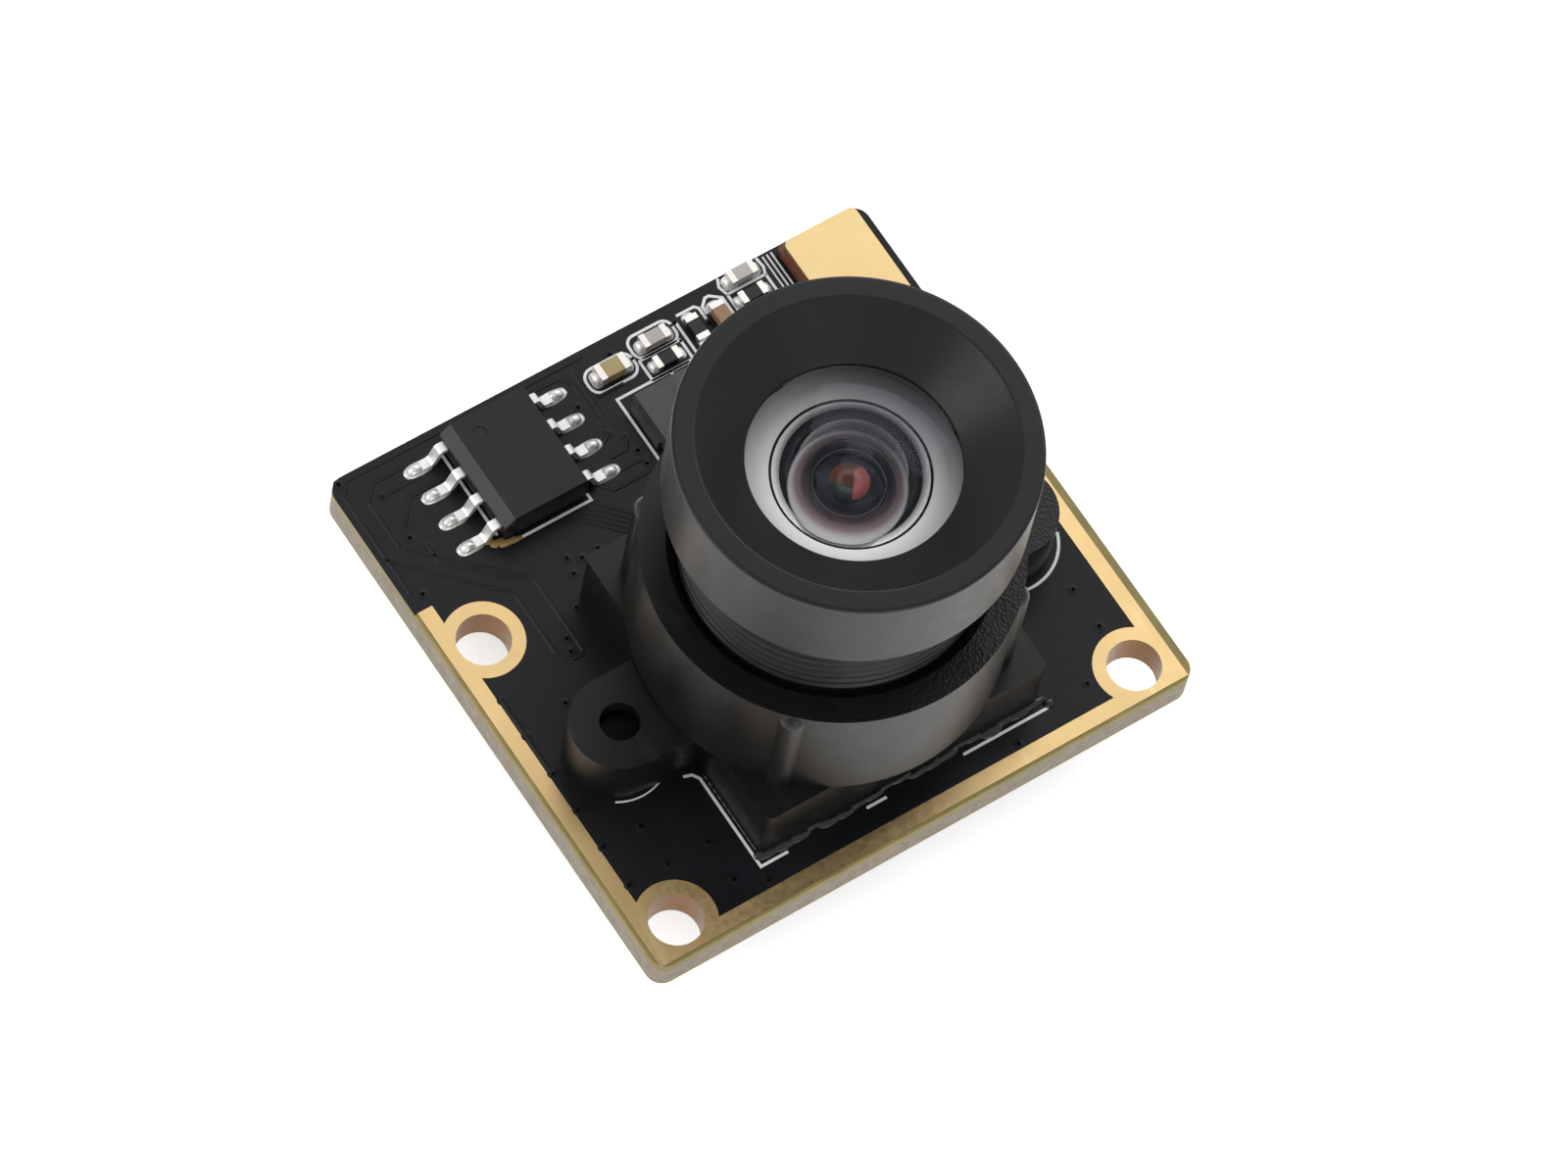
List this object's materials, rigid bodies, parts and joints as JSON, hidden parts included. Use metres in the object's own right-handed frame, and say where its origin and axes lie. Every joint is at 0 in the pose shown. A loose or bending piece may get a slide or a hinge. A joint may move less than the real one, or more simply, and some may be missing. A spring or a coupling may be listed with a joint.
{
  "type": "camera module",
  "caption": "Square board-mounted camera module with a large wide-angle screw-in lens in a moulded holder, plated mounting holes and a ribbon connector on the back.",
  "frame": {"origin": "middle of the board outline, at the underside of the ribbon connector, the lowest point", "axes": "+Z along the lens axis towards what it looks at, +X along the 25 mm side, +Y towards the ribbon connector edge"},
  "size_m": [0.025, 0.024, 0.0213],
  "materials": {
    "glass_fibre": "bare FR4 laminate, routed edges",
    "gold_plating": "flat gold plating",
    "solder_mask": "black solder mask, semi-matte",
    "holder_plastic": "black moulded plastic, fine grain",
    "anodised_barrel": "black anodised aluminium, satin",
    "front_glass": "polished, coated",
    "black_spacer": "matt black",
    "lens_glass": "polished, coated",
    "filter_glass": "polished, tinted",
    "sensor": "dark silicon and black package",
    "cover_glass": "polished",
    "chip_moulding": "moulded epoxy",
    "tinned_lead": "tin plated",
    "tan_ceramic": "sintered ceramic with tinned ends",
    "grey_ceramic": "sintered ceramic with tinned ends",
    "brown_ceramic": "sintered ceramic with tinned ends",
    "resistor_black": "black glaze with tinned ends",
    "inductor_ferrite": "dark grey moulding",
    "oscillator_ceramic": "brown ceramic",
    "gold_lid": "satin gold-plated lid",
    "screw_steel": "zinc plated steel",
    "connector_cream": "moulded plastic",
    "latch_black": "moulded plastic",
    "contact_metal": "plated spring contacts"
  },
  "bodies": {
    "board": {"circuit_board": "glass_fibre", "gold_plating": "gold_plating", "front_solder_mask": "solder_mask", "back_solder_mask": "solder_mask", "lens_holder": "holder_plastic", "infrared_filter": "filter_glass", "image_sensor": "sensor", "sensor_cover_glass": "cover_glass", "memory_chip": "chip_moulding", "chip_leads": "tinned_lead", "capacitor_1": "tan_ceramic", "capacitor_2": "grey_ceramic", "capacitor_3": "brown_ceramic", "capacitor_4": "grey_ceramic", "resistor_1": "resistor_black", "resistor_2": "resistor_black", "resistor_3": "resistor_black", "power_inductor": "inductor_ferrite", "oscillator_base": "oscillator_ceramic", "oscillator_lid": "gold_lid", "holder_screws": "screw_steel", "connector_housing": "connector_cream", "connector_contacts": "contact_metal", "connector_tabs": "tinned_lead", "regulator_1": "chip_moulding", "regulator_2": "chip_moulding", "regulator_leads": "tinned_lead", "back_capacitor_1": "tan_ceramic", "back_capacitor_2": "tan_ceramic", "back_capacitor_3": "tan_ceramic", "back_capacitor_4": "tan_ceramic"},
    "lens_stack": {"front_glass": "front_glass", "glass_spacer": "black_spacer", "second_glass": "lens_glass", "aperture_stop": "black_spacer", "third_glass": "lens_glass", "fourth_glass": "lens_glass", "retaining_ring": "black_spacer"},
    "lens_barrel": {"lens_barrel": "anodised_barrel"},
    "connector_latch": {"connector_latch": "latch_black"}
  },
  "joints": [
    {"name": "lens_travel", "type": "slide", "parent": "board", "child": "lens_stack", "axis": [0, 0, 1], "range_m": [-0.0005, 0.001]},
    {"name": "lens_turn", "type": "hinge", "parent": "lens_stack", "child": "lens_barrel", "pos_m": [0, -0.00331, 0], "axis": [0, 0, 1], "range_deg": [-360, 720]},
    {"name": "latch_slide", "type": "slide", "parent": "board", "child": "connector_latch", "axis": [0, 1, 0], "range_m": [0, 0.001]}
  ],
  "couplings": [
    {"joint": "lens_turn", "follows": "lens_travel", "rad_per_m": 12566}
  ]
}
